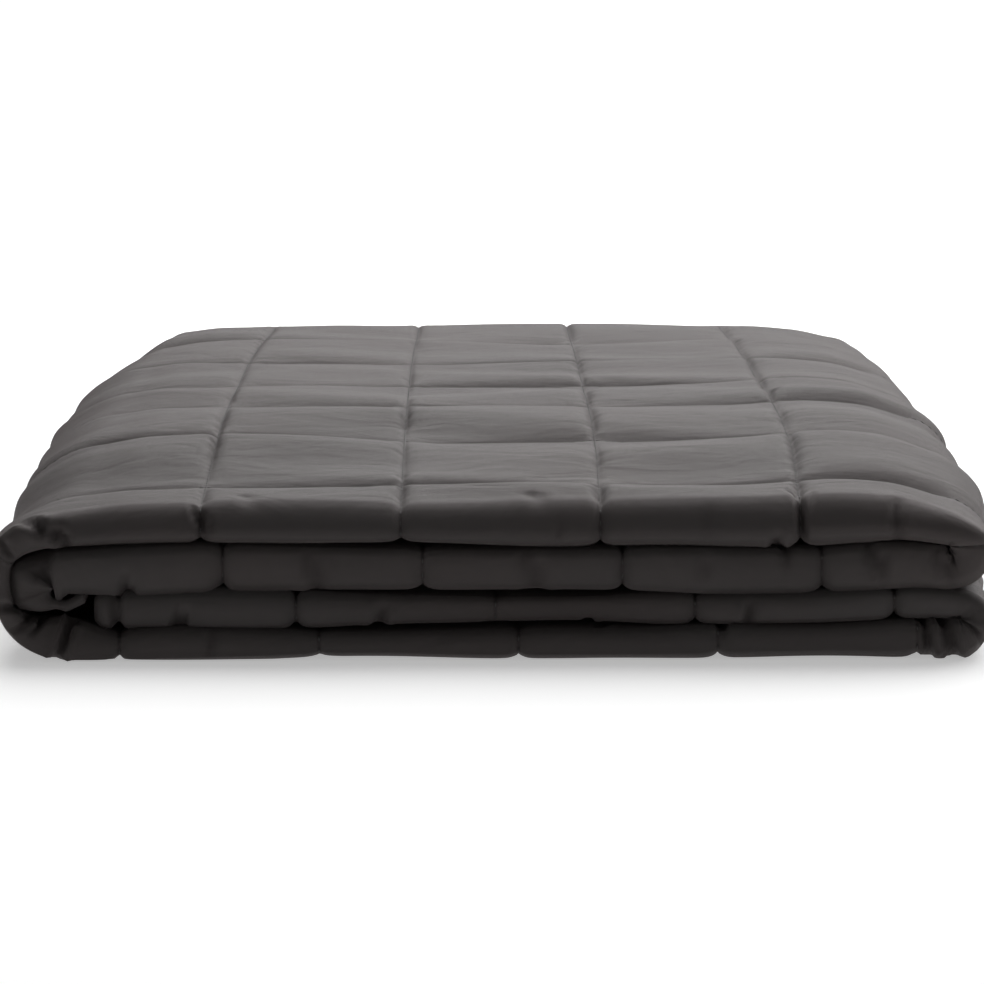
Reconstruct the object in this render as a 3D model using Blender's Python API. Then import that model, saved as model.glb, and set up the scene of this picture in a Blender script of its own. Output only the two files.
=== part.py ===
"""Weighted blanket, quilted in blocks and folded for the shelf, as one closed solid.

The blanket is folded in half across its width, with that fold at the front. The doubled cloth is then
folded along its length: both ends go to the middle, and the whole closes like a book, with its spine
on the left. Four doubled layers lie on each other, and every layer shows a rounded fold at the front.

Metres, +Z up. X runs across the folded stack, Y from the front fold (-Y) to the hems at the back (+Y).
The origin is at the middle of the underside.
"""

import math

import bmesh
import bpy
from mathutils import Vector

NAME = "blanket"

# The quilt, laid flat
BLOCK_LONG = 0.0914  # one quilted block along the blanket's length
END_BLOCK_LONG = 0.0924  # the last block
BLOCK_WIDE = 0.0938  # one quilted block across its width
BLOCKS_LONG = 20
BLOCKS_WIDE = 13
SEAM_THICK = 0.003  # both covers and the wadding, stitched flat
SHOULDER = 0.17  # share of a block, from a seam to its full thickness

# The folded stack
LEFT_EDGE = -0.228  # outside of the spine, at the front
RIGHT_EDGE = 0.2285  # outside of the folds on the right, at the front
LAYER_GAP = 0.0012
PLY_GAP = 0.0008  # between the two plies of a doubled layer
FRONT_Y = -0.309
BACK_Y = 0.304
SPINE_THICK = 0.0125  # the doubled cloth, drawn thin round the spine
OUTER_SHARE = 0.38  # a turn is as long as a line this share of the thickness outside its middle
SPINE_TAPER = 0.055  # length over which a layer thins towards the spine
RIGHT_TAPER = 0.06  # and towards a fold on the right

# One row for each doubled layer, from the floor up: thickness, and how far its front fold stands back
LAYERS = {
    "fourth": {"thick": 0.0145, "setback": 0.001},
    "third": {"thick": 0.0148, "setback": 0.006},
    "second": {"thick": 0.0198, "setback": 0.004},
    "first": {"thick": 0.0245, "setback": 0.0},
}

# The second layer's end hangs down inside the spine, and its flat hem turns back to the right
FIRST_SEAM_X = -0.1241
CURL_X = -0.1985
CURL_RADIUS = 0.0095
CURL_THICK = 0.0155
CURL_TAPER = 0.026
HEM_THICK = 0.0074
HEM_LONG = 0.0115
HEM_TILT = 0.15
HEM_DIP = 0.0025
HEM_DIP_LONG = 0.006
FIRST_BLOCK_LONG = HEM_LONG + math.pi * CURL_RADIUS + FIRST_SEAM_X - CURL_X

# The cloth inside the spine is pinched at its side and bunched up below: shares of its thickness
PINCH = 0.72
PINCH_AT = 0.5
PINCH_LONG = 0.38
BUNCH = 1.0
BUNCH_AT = 0.93
BUNCH_LONG = 0.18

# The top layer slopes down to its front
FRONT_ROUND = 0.75
FRONT_ROUND_LONG = 0.034
FRONT_ROUND_TAPER = 0.045

# How the stack settles: shares of its height that it gains or loses there
CROWN = 0.105  # on a line from side to side
CROWN_Y = -0.081
CROWN_LONG = 0.163
BACK_DROP = 0.065
BACK_DROP_LONG = 0.14
LEFT_DROP = 0.165
LEFT_DROP_LONG = 0.038
RIGHT_DROP = 0.10
RIGHT_DROP_LONG = 0.047

# Its sides, in plan: how far they stand out past the front corners, and are drawn in at the back
SIDE_OUT = 0.0096
SIDE_OUT_LONG = 0.129
SIDE_IN = 0.0114
SIDE_IN_LONG = 0.238

# The grid
TURN_STEPS = 6
CLOSEST_SAMPLES = 0.008

COLOUR = (0.105, 0.101, 0.099, 1.0)
ROUGHNESS = 0.85


def clear_scene():
    for obj in list(bpy.data.objects):
        bpy.data.objects.remove(obj, do_unlink=True)


def smooth(t):
    """0 to 1 as t goes from 0 to 1, level at both ends."""
    t = min(1.0, max(0.0, t))
    return t * t * (3 - 2 * t)


def blend(a, b, t):
    return a + (b - a) * t


def bell(value, middle, reach):
    return smooth(1 - abs(value - middle) / reach)


def puff(place):
    """Share of the full thickness at a place counted in blocks: 0 on a seam, 1 from a shoulder inwards."""
    share = place - math.floor(place)
    from_seam = min(share, 1 - share) / SHOULDER
    return math.sin(min(1.0, from_seam) * math.pi / 2)


def seam_place(count):
    """Place along the quilt of a count of blocks: a whole count is a seam or a hem."""
    count_inside = min(max(count - 1, 0), BLOCKS_LONG - 2)
    count_last = max(count - BLOCKS_LONG + 1, 0)
    return min(count, 1) * FIRST_BLOCK_LONG + count_inside * BLOCK_LONG + count_last * END_BLOCK_LONG


def blocks_along(place):
    """The reverse of seam_place."""
    inside = (place - FIRST_BLOCK_LONG) / BLOCK_LONG
    last = place - seam_place(BLOCKS_LONG - 1)
    if inside < 0:
        return place / FIRST_BLOCK_LONG
    if last > 0:
        return BLOCKS_LONG - 1 + last / END_BLOCK_LONG
    return 1 + inside


class Fold:
    """The doubled cloth's line in the stack's cross-section, from the second layer's end to the third's.

    It is a list of runs and turns. Lengths along it are those of the quilt, near its outer cover.
    """

    def __init__(self):
        self.underside = {}
        height = 0.0
        for name, layer in LAYERS.items():
            self.underside[name] = height
            height += layer["thick"] + LAYER_GAP
        self.parts = []
        self.length = 0.0
        upper = self.turn_size("second", "first", LAYERS["second"]["thick"], RIGHT_TAPER)
        lower = self.turn_size("fourth", "third", LAYERS["fourth"]["thick"], RIGHT_TAPER)
        spine = self.turn_size("fourth", "first", SPINE_THICK, SPINE_TAPER)
        spine_x = LEFT_EDGE + spine["thick"] / 2 + spine["radius"]
        upper_x = RIGHT_EDGE - upper["thick"] / 2 - upper["radius"]
        lower_x = RIGHT_EDGE - lower["thick"] / 2 - lower["radius"]
        curl = self.curl_size()
        self.underside["hem"] = curl["centre_z"] - CURL_RADIUS - HEM_THICK / 2
        self.add_run("hem", CURL_X + HEM_LONG, CURL_X, None, None)
        self.add_turn("hem", "second", CURL_X, -1, curl, climb=1, long=math.pi * CURL_RADIUS)
        self.add_run("second", CURL_X, upper_x, curl, upper)
        self.add_turn("second", "first", upper_x, 1, upper)
        self.top_run = self.add_run("first", upper_x, spine_x, upper, spine)
        self.spine = self.add_turn("first", "fourth", spine_x, -1, spine)
        self.add_run("fourth", spine_x, lower_x, spine, lower)
        self.add_turn("fourth", "third", lower_x, 1, lower)
        rest = seam_place(BLOCKS_LONG) - self.length
        self.add_run("third", lower_x, lower_x - rest, lower, None)

    def turn_size(self, lower, upper, thick, taper):
        """A turn joins the undersides of two layers, so a thicker layer thins from its top towards it."""
        low, high = self.underside[lower], self.underside[upper]
        return {
            "radius": (high - low) / 2,
            "thick": thick,
            "centre_z": (low + high + thick) / 2,
            "taper": taper,
        }

    def curl_size(self):
        """The curl at the second layer's end keeps that layer's top level."""
        top = self.underside["second"] + LAYERS["second"]["thick"]
        return {
            "radius": CURL_RADIUS,
            "thick": CURL_THICK,
            "thick_before": HEM_THICK,
            "centre_z": top - CURL_THICK / 2 - CURL_RADIUS,
            "taper": CURL_TAPER,
        }

    def add_run(self, layer, start_x, end_x, turn_before, turn_after):
        long = abs(end_x - start_x)
        self.parts.append(
            {
                "kind": "run",
                "from": self.length,
                "long": long,
                "layer": layer,
                "next_layer": layer,
                "start_x": start_x,
                "way": math.copysign(1, end_x - start_x),
                "before": turn_before,
                "after": turn_after,
            }
        )
        self.length += long
        return self.parts[-1]

    def add_turn(self, layer, next_layer, centre_x, side, size, climb=None, long=None):
        """climb is 1 where the turn goes up and -1 where it goes down."""
        long = long or math.pi * (size["radius"] + OUTER_SHARE * size["thick"])
        self.parts.append(
            {
                "kind": "turn",
                "from": self.length,
                "long": long,
                "layer": layer,
                "next_layer": next_layer,
                "centre_x": centre_x,
                "side": side,
                "climb": climb or side,
                "radius": size["radius"],
                "thick": size["thick"],
                "thick_before": size.get("thick_before", size["thick"]),
                "centre_z": size["centre_z"],
            }
        )
        self.length += long
        return self.parts[-1]

    def part_at(self, along):
        for part in self.parts:
            if along <= part["from"] + part["long"]:
                return part
        return self.parts[-1]

    def thickness(self, along):
        """Thickness of the doubled cloth."""
        part = self.part_at(along)
        done = along - part["from"]
        if part["kind"] == "turn":
            return blend(part["thick_before"], part["thick"], smooth(done / part["long"] / 0.6))
        if part["layer"] == "hem":
            return HEM_THICK
        full = LAYERS[part["layer"]]["thick"]
        thick = full
        for turn, away in ((part["before"], done), (part["after"], part["long"] - done)):
            if turn is not None:
                thick = min(thick, blend(turn["thick"], full, smooth(away / turn["taper"])))
        return thick

    def setback(self, along):
        part = self.part_at(along)
        share = smooth((along - part["from"]) / part["long"])
        here = LAYERS.get(part["layer"], LAYERS["second"])["setback"]
        after = LAYERS.get(part["next_layer"], LAYERS["second"])["setback"]
        return blend(here, after, share)

    def filled(self, along):
        """How much thicker than elsewhere the cloth is on the inside of the spine."""
        share = (along - self.spine["from"]) / self.spine["long"]
        return 1 + BUNCH * bell(share, BUNCH_AT, BUNCH_LONG) - PINCH * bell(share, PINCH_AT, PINCH_LONG)

    def slope(self, along, behind):
        """How much lower than elsewhere the top layer's outside is near its front."""
        from_ends = min(along - self.top_run["from"], self.top_run["from"] + self.top_run["long"] - along)
        on_top = smooth((from_ends + 0.012) / FRONT_ROUND_TAPER)
        near_front = min(1.0, max(0.0, 1 - behind / FRONT_ROUND_LONG))
        return 1 - on_top * FRONT_ROUND * near_front**2

    def place(self, along, behind, outwards):
        """(x, z) of a point that lies outwards of the line, on the outer ply's side."""
        part = self.part_at(along)
        outwards *= self.filled(along) if outwards < 0 else self.slope(along, behind)
        if part["kind"] == "run":
            done = along - part["from"]
            x = part["start_x"] + part["way"] * done
            thick = self.thickness(along)
            middle = self.underside[part["layer"]] + thick / 2
            if part["layer"] == "second":
                middle += LAYERS["second"]["thick"] - thick
            if part["layer"] == "hem":
                from_turn = part["long"] - done
                middle += HEM_TILT * from_turn - HEM_DIP * smooth(from_turn / HEM_DIP_LONG)
            return x, middle - part["way"] * outwards
        turned = math.pi * (along - part["from"]) / part["long"]
        reach = part["radius"] + part["side"] * part["climb"] * outwards
        x = part["centre_x"] + part["side"] * reach * math.sin(turned)
        z = part["centre_z"] - part["climb"] * reach * math.cos(turned)
        return x, z

    def samples(self):
        """Places along the line: every seam and block shoulder, and the steps of each turn."""
        wanted = []
        for block in range(BLOCKS_LONG):
            for share in (0.0, SHOULDER, 1 - SHOULDER):
                wanted.append(seam_place(block + share))
        wanted += [HEM_LONG, self.length]
        turns = [part for part in self.parts if part["kind"] == "turn"]
        for part in turns:
            for step in range(TURN_STEPS + 1):
                place = part["from"] + part["long"] * step / TURN_STEPS
                if min(abs(place - other) for other in wanted) > CLOSEST_SAMPLES:
                    wanted.append(place)
        return sorted(wanted)


def rows_across():
    """Rows of the grid across the width, as (kind, value): a place, or an angle in the front fold."""
    half_blocks = BLOCKS_WIDE // 2
    rows = []
    for block in range(half_blocks):
        for share in (0.0, SHOULDER, 1 - SHOULDER):
            rows.append(("place", (block + share) * BLOCK_WIDE))
    rows.append(("place", half_blocks * BLOCK_WIDE))
    rows.append(("place", (half_blocks + SHOULDER) * BLOCK_WIDE))
    for step in range(TURN_STEPS + 1):
        rows.append(("angle", math.pi * step / TURN_STEPS))
    rows.append(("place", (half_blocks + 1 - SHOULDER) * BLOCK_WIDE))
    for block in range(half_blocks + 1, BLOCKS_WIDE):
        for share in (SHOULDER, 1 - SHOULDER):
            rows.append(("place", (block + share) * BLOCK_WIDE))
    rows.append(("place", BLOCKS_WIDE * BLOCK_WIDE))
    return rows


def half_thickness(along, across, ply):
    """Half of a ply's thickness at a place of the flat quilt: thin on its seams, full between them."""
    swell = puff(blocks_along(along)) * puff(across / BLOCK_WIDE)
    return blend(SEAM_THICK, ply, swell) / 2


def double_over(row, along, thick, cover):
    """(distance behind the front, offset outwards) of a point once the quilt is folded in half.

    cover is +1 on the quilt's outer cover and -1 on its inner one.
    """
    ply = (thick - PLY_GAP) / 2
    bend = (ply + PLY_GAP) / 2
    fold_middle = bend + ply / 2
    crease = BLOCKS_WIDE * BLOCK_WIDE / 2
    turn_starts = crease - bend * math.pi / 2
    kind, value = row
    if kind == "angle":
        across = turn_starts + bend * value
        reach = bend + cover * half_thickness(along, across, ply)
        return fold_middle - reach * math.sin(value), reach * math.cos(value)
    offset = bend + cover * half_thickness(along, value, ply)
    if value < crease:
        return fold_middle + turn_starts - value, offset
    return fold_middle + value - (2 * crease - turn_starts), -offset


def settle(x, y, z):
    """The stack's own weight: it crowns behind its front, and sinks towards its sides and back."""
    kept = 1 + CROWN * smooth(1 - abs(y - CROWN_Y) / CROWN_LONG)
    kept *= 1 - BACK_DROP * smooth(1 - (BACK_Y - y) / BACK_DROP_LONG)
    kept *= 1 - LEFT_DROP * smooth(1 - (x - LEFT_EDGE) / LEFT_DROP_LONG)
    kept *= 1 - RIGHT_DROP * smooth(1 - (RIGHT_EDGE - x) / RIGHT_DROP_LONG)
    wide = SIDE_OUT * smooth((y - FRONT_Y) / SIDE_OUT_LONG)
    wide -= SIDE_IN * smooth(1 - (BACK_Y - y) / SIDE_IN_LONG)
    return Vector((x + x / RIGHT_EDGE * wide, y, z * kept))


def folded_point(fold, along, row, cover):
    behind, outwards = double_over(row, along, fold.thickness(along), cover)
    x, z = fold.place(along, behind, outwards)
    return settle(x, FRONT_Y + fold.setback(along) + behind, z)


def flat_slab(columns, rows):
    """A closed slab on a grid of that many points, with a point's column, row and cover in x, y and z."""
    bm = bmesh.new()
    bmesh.ops.create_grid(bm, x_segments=columns - 1, y_segments=rows - 1, size=0.5)
    for vert in bm.verts:
        vert.co.x = round((vert.co.x + 0.5) * (columns - 1))
        vert.co.y = round((vert.co.y + 0.5) * (rows - 1))
        vert.co.z = -1
    raised = bmesh.ops.extrude_face_region(bm, geom=list(bm.faces))
    for item in raised["geom"]:
        if isinstance(item, bmesh.types.BMVert):
            item.co.z = 1
    bmesh.ops.recalc_face_normals(bm, faces=list(bm.faces))
    return bm


def fabric():
    material = bpy.data.materials.new("charcoal_cloth")
    material.use_nodes = True
    finish = material.node_tree.nodes["Principled BSDF"]
    finish.inputs["Base Color"].default_value = COLOUR
    finish.inputs["Roughness"].default_value = ROUGHNESS
    finish.inputs["Metallic"].default_value = 0.0
    return material


def make_blanket():
    fold = Fold()
    columns = fold.samples()
    rows = rows_across()
    bm = flat_slab(len(columns), len(rows))
    for vert in bm.verts:
        column, row, cover = (round(value) for value in vert.co)
        vert.co = folded_point(fold, columns[column], rows[row], cover)
    bmesh.ops.triangulate(bm, faces=list(bm.faces))
    mesh = bpy.data.meshes.new(NAME)
    bm.to_mesh(mesh)
    bm.free()
    mesh.shade_smooth()
    mesh.materials.append(fabric())
    blanket = bpy.data.objects.new(NAME, mesh)
    collection = bpy.data.collections.new("weighted_blanket")
    bpy.context.scene.collection.children.link(collection)
    collection.objects.link(blanket)
    return blanket


clear_scene()
make_blanket()
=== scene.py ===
import math
import bpy
import numpy as np
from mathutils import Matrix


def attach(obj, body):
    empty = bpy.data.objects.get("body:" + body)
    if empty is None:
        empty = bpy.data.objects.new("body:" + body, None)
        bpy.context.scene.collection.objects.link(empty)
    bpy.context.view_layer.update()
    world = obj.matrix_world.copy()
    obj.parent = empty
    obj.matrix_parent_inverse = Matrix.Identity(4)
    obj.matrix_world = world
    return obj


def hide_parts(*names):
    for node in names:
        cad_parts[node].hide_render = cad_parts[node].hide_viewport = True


# a folded weighted blanket: doubled over at the front, its ends laid to the middle and closed like a book
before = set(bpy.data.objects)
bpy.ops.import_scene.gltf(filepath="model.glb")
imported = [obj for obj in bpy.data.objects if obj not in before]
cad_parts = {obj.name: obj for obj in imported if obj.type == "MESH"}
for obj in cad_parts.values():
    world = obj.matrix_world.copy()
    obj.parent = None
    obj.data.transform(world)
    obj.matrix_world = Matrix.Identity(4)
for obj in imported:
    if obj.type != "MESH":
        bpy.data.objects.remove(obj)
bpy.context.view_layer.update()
print("frame loaded:", sorted(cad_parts))


def tidySelection():
    if bpy.context.object and bpy.context.object.mode != "OBJECT":
        bpy.ops.object.mode_set(mode="OBJECT")
    bpy.ops.object.select_all(action="DESELECT")


def smooth(t):  # 0 to 1, level at both ends
    t = np.clip(t, 0.0, 1.0)
    return t * t * (3 - 2 * t)


def blend(a, b, t):
    return a + (b - a) * t


def bell(value, middle, long):  # 1 in the middle, 0 from this far away
    return smooth(1 - np.abs(value - middle) / long)


# the way the quilt is sewn and folded, in metres, with the same sizes as its CAD solid
quilt = {
    "blockLong": 0.0914,
    "endBlockLong": 0.0924,  # the last block, up to the hem
    "blockWide": 0.0938,
    "blocksLong": 20,
    "blocksWide": 13,
    "seamThick": 0.0022,
    "plyGap": 0.0008,
    "layerGap": 0.0004,
}

layers = {  # from the floor up
    "fourth": {"thick": 0.0153, "setback": 0.001},
    "third": {"thick": 0.0156, "setback": 0.004},
    "second": {"thick": 0.0206, "setback": 0.004},
    "first": {"thick": 0.0245, "setback": 0.0},
}

stack = {
    "leftEdge": -0.228,
    "rightEdge": 0.2285,
    "frontY": -0.309,
    "backY": 0.304,
    "spineThick": 0.0125,
    "outerShare": 0.38,  # how far out in the cloth a turn's length is measured
    "spineTaper": 0.055,
    "shoulderThick": 0.0220,  # the top layer is still this full where it turns down into the spine
    "shoulderTaper": 0.030,
    "rightTaper": 0.06,
    "turnBlend": 0.42,  # the share of a turn in which the cloth comes to its thickness
    "curlX": -0.2012,
    "firstSeamX": -0.1241,
    "frontDrop": 0.06,  # the top layer slopes down to its front
    "frontPress": 0.05,
    "frontSlopeLong": 0.046,
    "slopeLeft": 0.026,  # how far the slope goes on round the sides
    "slopeRight": 0.025,
    "slopeSoftness": 0.045,
    "tuck": 0.004,  # its front leans back towards its underside
    "lean": 0.0068,  # and towards its top
    "leanFrom": -0.45,  # where the lean starts: -1 is the layer's underside and 1 its top
    "foldCorner": 0.42,  # the front folds' corners: 1 is fully round, less is squarer
    "topFoldCorner": 0.62,
}

curl = {  # the second layer's end hangs down inside the spine, and its hem turns back
    "radius": 0.0075,
    "thick": 0.0198,
    "taper": 0.010,
    "wide": 1.2,  # how much wider than high
    "hemThick": 0.0052,
    "hemLong": 0.0140,
    "hemTilt": 0.48,
    "hemDip": 0.0042,
    "hemDipLong": 0.0065,
    "sag": 0.75,  # the lump below the layer's own underside
    "sagLong": 0.006,
    "setback": 0.003,
    "corner": 0.16,  # how much squarer the lump's upper corner is than a round one
}

spineFill = {  # the cloth inside the spine is pinched at its side and bunched up below
    "pinch": 0.85, "pinchAt": 0.46, "pinchLong": 0.34,
    "corner": 0.24,  # how much squarer its upper corner is than a round one
    "innerCorner": 0.24,
    "bunch": 1.2, "bunchAt": 0.94, "bunchLong": 0.30,
}

settling = {  # how the stack gives under its own weight and its folding
    # it is highest a third of the way back, a little lower in the middle, and lowest at the back
    "crown": 0.086, "crownY": -0.11, "crownLong": 0.20,
    "middleDrop": 0.022, "middleX": -0.013, "middleLong": 0.18,
    "backDrop": 0.065, "backDropLong": 0.14,
    # both sides drop, the left one less at its stiff front corner and more at the back
    "leftSlope": 0.045, "leftSlopeLong": 0.105,
    "leftDrop": 0.135, "leftDropLong": 0.038, "leftStiff": 0.6, "leftStiffLong": 0.05,
    "leftBackDrop": 1.2, "leftBackLong": 0.20,
    "rightDrop": 0.10, "rightDropLong": 0.047,
    # they move out behind the front and are drawn in again towards the back
    "leftOut": -0.0006, "rightOut": 0.0070, "sideOutLong": 0.129,
    "leftIn": 0.0132, "rightIn": 0.0070, "sideInLong": 0.238,
    # the upper layers sink at the front, from this height to that
    "frontSink": 0.0034, "frontSinkLong": 0.15, "frontSinkFrom": 0.044, "frontSinkTo": 0.080,
    # the right front corner is pushed up from below
    "cornerLift": 0.0046, "cornerX": 0.13, "cornerLong": 0.09, "cornerTop": 0.072, "cornerBack": 0.10,
    # the top bulges at the right, and the gap between the upper two layers rides up left of the middle
    "bulge": 0.0036, "bulgeX": 0.176, "bulgeLong": 0.064, "bulgeY": -0.16, "bulgeDeep": 0.42,
    "lift": 0.0020, "liftX": -0.085, "liftLong": 0.13, "liftZ": 0.0490, "liftHigh": 0.022,
    # the lower layers sag left of the middle, and the third one is tilted at the right
    "sag": 0.0012, "sagX": -0.06, "sagLong": 0.24, "sagTop": 0.043,
    "tilt": 0.0020, "tiltX": 0.065, "tiltLong": 0.05, "tiltTop": 0.046,
    "floorGive": 0.15,  # what is left of anything that would go below the floor
}

quiltWide = quilt["blocksWide"] * quilt["blockWide"]
firstBlockLong = curl["hemLong"] + math.pi * curl["radius"] + stack["firstSeamX"] - stack["curlX"]


def seamPlace(count):  # how far along the quilt a count of blocks reaches
    inside = np.clip(count - 1, 0, quilt["blocksLong"] - 2) * quilt["blockLong"]
    first = np.minimum(count, 1) * firstBlockLong
    return first + inside + np.maximum(count - quilt["blocksLong"] + 1, 0) * quilt["endBlockLong"]


quiltLong = float(seamPlace(quilt["blocksLong"]))


def foldPath():  # runs and turns of the doubled cloth, seen from the front
    underside, height = {}, 0.0
    for name, layer in layers.items():
        underside[name] = height
        height += layer["thick"] + quilt["layerGap"]

    def turn(lower, upper, thick, taper):
        low, high = underside[lower], underside[upper]
        return {
            "radius": (high - low) / 2, "thick": thick, "centreZ": (low + high + thick) / 2, "taper": taper}

    upper = turn("second", "first", layers["second"]["thick"], stack["rightTaper"])
    lower = turn("fourth", "third", layers["fourth"]["thick"], stack["rightTaper"])
    spine = turn("fourth", "first", stack["spineThick"], stack["spineTaper"])
    spineX = stack["leftEdge"] + spine["thick"] / 2 + spine["radius"]
    upperX = stack["rightEdge"] - upper["thick"] / 2 - upper["radius"]
    lowerX = stack["rightEdge"] - lower["thick"] / 2 - lower["radius"]
    parts, reached = {}, 0.0

    def add(name, long, facts):
        nonlocal reached
        parts[name] = {"from": reached, "long": long, **facts}
        reached += long

    def addRun(layer, startX, endX, before, after):
        add(layer, abs(endX - startX), {
            "kind": "run", "layer": layer, "next": layer, "startX": startX,
            "way": math.copysign(1, endX - startX), "tilt": 0, "dip": 0,
            "top": underside[layer] + layers[layer]["thick"], "before": before, "after": after,
        })

    def addTurn(name, layer, after, centreX, side, size, climb=None, long=None):
        add(name, long or math.pi * (size["radius"] + stack["outerShare"] * size["thick"]), {
            "kind": "turn", "layer": layer, "next": after, "centreX": centreX,
            "side": side, "climb": climb or side, **size,
        })

    secondTop = underside["second"] + layers["second"]["thick"]
    hook = {
        "radius": curl["radius"], "thick": curl["thick"], "thickBefore": curl["hemThick"],
        "taper": curl["taper"],
        "centreZ": secondTop - curl["thick"] / 2 - curl["radius"],
    }
    layers["hem"] = {"thick": curl["hemThick"], "setback": curl["setback"]}
    underside["hem"] = hook["centreZ"] - curl["radius"] - curl["hemThick"] / 2
    addRun("hem", stack["curlX"] + curl["hemLong"], stack["curlX"], None, None)
    parts["hem"].update(tilt=curl["hemTilt"], dip=curl["hemDip"])
    addTurn("curl", "hem", "second", stack["curlX"], -1, hook, climb=1, long=math.pi * curl["radius"])
    addRun("second", stack["curlX"], upperX, hook, upper)
    addTurn("upperFold", "second", "first", upperX, 1, upper)
    shoulder = {"thick": stack["shoulderThick"], "taper": stack["shoulderTaper"]}
    addRun("first", upperX, spineX, upper, shoulder)
    addTurn("spine", "first", "fourth", spineX, -1, {**spine, "thickBefore": stack["shoulderThick"]})
    addRun("fourth", spineX, lowerX, spine, lower)
    addTurn("lowerFold", "fourth", "third", lowerX, 1, lower)
    addRun("third", lowerX, lowerX - (quiltLong - reached), lower, None)
    return parts


path = foldPath()


def onPart(part, along):  # which points of the quilt are on this run or turn
    first, last = part is path["hem"], part is path["third"]
    return ((along >= part["from"]) | first) & ((along < part["from"] + part["long"]) | last)


def layThickness(along):  # of the doubled cloth
    thick = np.zeros_like(along)
    for part in path.values():
        here = onPart(part, along)
        done = along[here] - part["from"]
        if part["kind"] == "turn":
            before = part.get("thickBefore", part["thick"])
            thick[here] = blend(before, part["thick"], smooth(done / part["long"] / stack["turnBlend"]))
            continue
        full = layers[part["layer"]]["thick"]
        found = np.full_like(done, full)
        for turn, away in ((part["before"], done), (part["after"], part["long"] - done)):
            if turn:
                found = np.minimum(found, blend(turn["thick"], full, smooth(away / turn["taper"])))
        thick[here] = found
    return thick


def inSection(along, outwards, thick):  # x and z in the stack's cross-section, and the front's setback
    x, z, setback = np.zeros_like(along), np.zeros_like(along), np.zeros_like(along)
    share = (along - path["spine"]["from"]) / path["spine"]["long"]
    filled = 1 + spineFill["bunch"] * bell(share, spineFill["bunchAt"], spineFill["bunchLong"])
    filled = filled - spineFill["pinch"] * bell(share, spineFill["pinchAt"], spineFill["pinchLong"])
    sagging = 1 + curl["sag"] * bell(along, path["second"]["from"], curl["sagLong"])
    outwards = outwards * np.where(outwards < 0, filled, sagging)
    for name, part in path.items():
        here = onPart(part, along)
        done, out = along[here] - part["from"], outwards[here]
        setback[here] = blend(
            layers[part["layer"]]["setback"], layers[part["next"]]["setback"], smooth(done / part["long"]))
        if part["kind"] == "turn":
            turned = math.pi * done / part["long"]
            reach = part["radius"] + part["side"] * part["climb"] * out
            wide = 1.0
            if name == "spine":
                reach = reach + (thick[here] - part["thick"]) / 2
                outside = smooth(0.5 + out / part["thick"])
                corner = blend(spineFill["innerCorner"], spineFill["corner"], outside)
                reach = reach * (1 + corner * np.sin(2 * np.minimum(turned, math.pi / 2)) ** 2)
            if name == "curl":
                reach = reach * (1 + curl["corner"] * np.sin(2 * np.maximum(turned, math.pi / 2)) ** 2)
                wide = curl["wide"]
            x[here] = part["centreX"] + part["side"] * wide * reach * np.sin(turned)
            z[here] = part["centreZ"] - part["climb"] * reach * np.cos(turned)
            continue
        x[here] = part["startX"] + part["way"] * done
        middle = part["top"] - layers[name]["thick"] + thick[here] / 2
        if name == "second":
            middle = part["top"] - thick[here] / 2
        fromTurn = part["long"] - done
        dip = part["tilt"] * fromTurn - part["dip"] * smooth(fromTurn / curl["hemDipLong"])
        z[here] = middle - part["way"] * out + dip
    return x, z, setback


def settle(x, y, z):  # the stack's own weight
    s = settling
    kept = 1 + s["crown"] * smooth(1 - abs(y - s["crownY"]) / s["crownLong"])
    kept = kept * (1 - s["middleDrop"] * bell(x, s["middleX"], s["middleLong"]))
    kept = kept * (1 - s["backDrop"] * smooth(1 - (stack["backY"] - y) / s["backDropLong"]))
    dropped = 1 - s["leftStiff"] * smooth(1 - (y - stack["frontY"]) / s["leftStiffLong"])
    dropped = dropped + s["leftBackDrop"] * smooth(1 - (stack["backY"] - y) / s["leftBackLong"])
    kept = kept * (1 - dropped * s["leftDrop"] * smooth(1 - (x - stack["leftEdge"]) / s["leftDropLong"]))
    kept = kept * (1 - s["leftSlope"] * smooth(1 - (x - stack["leftEdge"]) / s["leftSlopeLong"]))
    kept = kept * (1 - s["rightDrop"] * smooth(1 - (stack["rightEdge"] - x) / s["rightDropLong"]))
    wide = np.where(x < 0, s["leftOut"], s["rightOut"]) * smooth((y - stack["frontY"]) / s["sideOutLong"])
    drawnIn = np.where(x < 0, s["leftIn"], s["rightIn"])
    wide = wide - drawnIn * smooth(1 - (stack["backY"] - y) / s["sideInLong"])
    corner = smooth((x - s["cornerX"]) / s["cornerLong"])
    corner = corner * smooth(1 - (y - stack["frontY"]) / s["cornerBack"])
    lift = s["cornerLift"] * corner * np.sin(math.pi * np.clip(z / s["cornerTop"], 0, 1))
    sagging = bell(x, s["sagX"], s["sagLong"]) * np.sin(math.pi * np.clip(z / s["sagTop"], 0, 1))
    lift = lift - s["sag"] * sagging
    lift = lift + s["lift"] * bell(x, s["liftX"], s["liftLong"]) * bell(z, s["liftZ"], s["liftHigh"])
    tilting = smooth((x - s["tiltX"]) / s["tiltLong"])
    tilting = tilting * np.sin(2 * math.pi * np.clip(z / s["tiltTop"], 0, 1))
    upper = smooth((z - s["frontSinkFrom"]) / (s["frontSinkTo"] - s["frontSinkFrom"]))
    sinking = upper * smooth(1 - (y - stack["frontY"]) / s["frontSinkLong"])
    bulging = upper * bell(x, s["bulgeX"], s["bulgeLong"]) * bell(y, s["bulgeY"], s["bulgeDeep"])
    z = kept * (z + lift + s["tilt"] * tilting - s["frontSink"] * sinking + s["bulge"] * bulging)
    z = np.where(z < 0, z * s["floorGive"], z)
    return np.stack([x + x / stack["rightEdge"] * wide, y, z], axis=1)


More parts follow.
